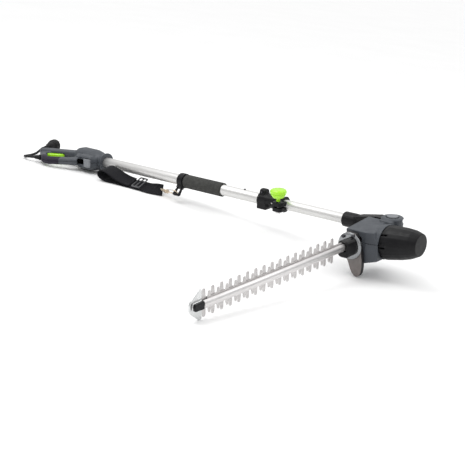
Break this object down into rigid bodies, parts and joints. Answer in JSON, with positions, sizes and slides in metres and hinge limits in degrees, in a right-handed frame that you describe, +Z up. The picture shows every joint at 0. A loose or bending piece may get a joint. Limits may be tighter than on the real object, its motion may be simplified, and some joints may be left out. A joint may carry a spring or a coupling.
{
  "type": "hedge trimmer",
  "caption": "Corded long-reach hedge trimmer: D-handle, telescopic pole with clamp knob, shoulder strap on a snap hook, and a folding motor head with a double-sided blade.",
  "frame": {"origin": "centre of the bottom of the bounding box of everything but the mains lead, on the floor the tool lies on", "axes": "+X along the pole in plan, from the handle to the head; +Z up from the floor, across the lying tool; +Y towards the tool's top in use"},
  "size_m": [1.3366, 0.7037, 0.1354],
  "materials": {
    "housing_grey": "satin moulded",
    "lime": "glossy moulded",
    "light_grey": "satin moulded",
    "black_plastic": "fine texture",
    "aluminium": "satin anodised",
    "steel": "ground",
    "dark_steel": "blackened",
    "copper": "bare",
    "pale_brass": "nickel-washed",
    "foam": "open foam",
    "cord_rubber": "matt",
    "webbing": "woven",
    "smoked": "glossy"
  },
  "bodies": {
    "handle": {"handle_shell_right": "housing_grey", "handle_shell_left": "housing_grey", "trigger_pin": "steel", "power_switch": "black_plastic", "handle_screw_1": "dark_steel", "handle_screw_2": "dark_steel", "cord_gland": "cord_rubber", "outer_tube": "aluminium", "foam_grip": "foam", "guide_rivet": "dark_steel", "strap_bracket": "black_plastic", "bracket_screw": "dark_steel", "clamp_body": "black_plastic", "clamp_bolt": "steel", "clamp_screw": "dark_steel", "shoulder_strap": "webbing", "strap_buckle": "black_plastic", "snap_hook": "pale_brass", "hook_swivel": "pale_brass", "mains_cord": "cord_rubber", "mains_plug": "black_plastic"},
    "trigger": {"trigger_lever": "lime"},
    "lock_button": {"lock_off_button": "light_grey"},
    "knob": {"clamp_knob": "lime"},
    "inner_pole": {"inner_tube": "aluminium", "coiled_lead": "cord_rubber", "pivot_arm": "black_plastic", "socket_screw": "dark_steel"},
    "pivot_button": {"pivot_release_button": "light_grey"},
    "armature": {"armature_core": "dark_steel", "motor_shaft": "steel", "commutator": "copper", "cooling_fan": "black_plastic", "motor_pinion": "steel"},
    "crank_gear": {"drive_gear": "steel"},
    "cutter": {"cutting_blade": "steel"},
    "gate": {"hook_gate": "steel"},
    "head": {"head_shell_right": "housing_grey", "head_shell_left": "housing_grey", "pivot_bolt": "steel", "motor_cap": "black_plastic", "motor_stator": "dark_steel", "carbon_brush_upper": "dark_steel", "carbon_brush_lower": "dark_steel", "front_bearing": "steel", "rear_bearing": "steel", "gear_shaft": "steel", "gear_bush": "pale_brass", "comb_blade": "steel", "guide_bar": "steel", "blade_bolt_1": "dark_steel", "blade_bolt_2": "dark_steel", "blade_bolt_3": "dark_steel", "tip_guard": "steel", "gear_case_nose": "steel", "nose_bolt_1": "dark_steel", "nose_bolt_2": "dark_steel", "nose_bolt_3": "dark_steel", "root_collar": "black_plastic", "hand_guard": "smoked"}
  },
  "joints": [
    {"name": "trigger_pull", "type": "hinge", "parent": "handle", "child": "trigger", "pos_m": [-0.55911, 0.27121, 0.0223], "axis": [0.0689, 0.0925, -0.9933], "range_deg": [0, 7], "stiffness_Nm_per_rad": 0.6, "springref_deg": -17.19},
    {"name": "lock_button_press", "type": "slide", "parent": "handle", "child": "lock_button", "axis": [-0.0064, 0.9957, 0.0922], "range_m": [0, 0.003], "stiffness_N_per_m": 600, "springref_m": -0.002},
    {"name": "knob_turn", "type": "hinge", "parent": "handle", "child": "knob", "pos_m": [0.21821, 0.27476, 0.1068], "axis": [-0.0689, -0.0925, 0.9933], "range_deg": [0, 540]},
    {"name": "pole_extend", "type": "slide", "parent": "handle", "child": "inner_pole", "axis": [0.9976, 0, 0.0692], "range_m": [0, 0.55]},
    {"name": "head_pivot", "type": "hinge", "parent": "inner_pole", "child": "head", "pos_m": [0.526, 0.30058, 0.1205], "axis": [-0.0689, -0.0925, 0.9933], "range_deg": [0, 135]},
    {"name": "pivot_button_press", "type": "slide", "parent": "head", "child": "pivot_button", "axis": [0.0689, 0.0925, -0.9933], "range_m": [0, 0.003], "stiffness_N_per_m": 600, "springref_m": -0.002},
    {"name": "motor_spin", "type": "hinge", "parent": "head", "child": "armature", "pos_m": [0.55857, 0.25693, 0.08447], "axis": [0.9976, 0, 0.0692], "continuous": true},
    {"name": "gear_spin", "type": "hinge", "parent": "head", "child": "crank_gear", "pos_m": [0.48603, 0.23471, 0.07535], "axis": [0.9976, 0, 0.0692], "continuous": true},
    {"name": "blade_stroke", "type": "slide", "parent": "head", "child": "cutter", "axis": [-0.0064, 0.9957, 0.0922], "range_m": [-0.008, 0.008]},
    {"name": "hook_gate_open", "type": "hinge", "parent": "handle", "child": "gate", "pos_m": [-0.1462, 0.28058, 0.02565], "axis": [-0.0386, 0.5975, 0.801], "range_deg": [0, 10], "stiffness_Nm_per_rad": 0.02, "springref_deg": -17.19}
  ],
  "couplings": [
    {"joint": "motor_spin", "follows": "gear_spin", "ratio": -4}
  ]
}
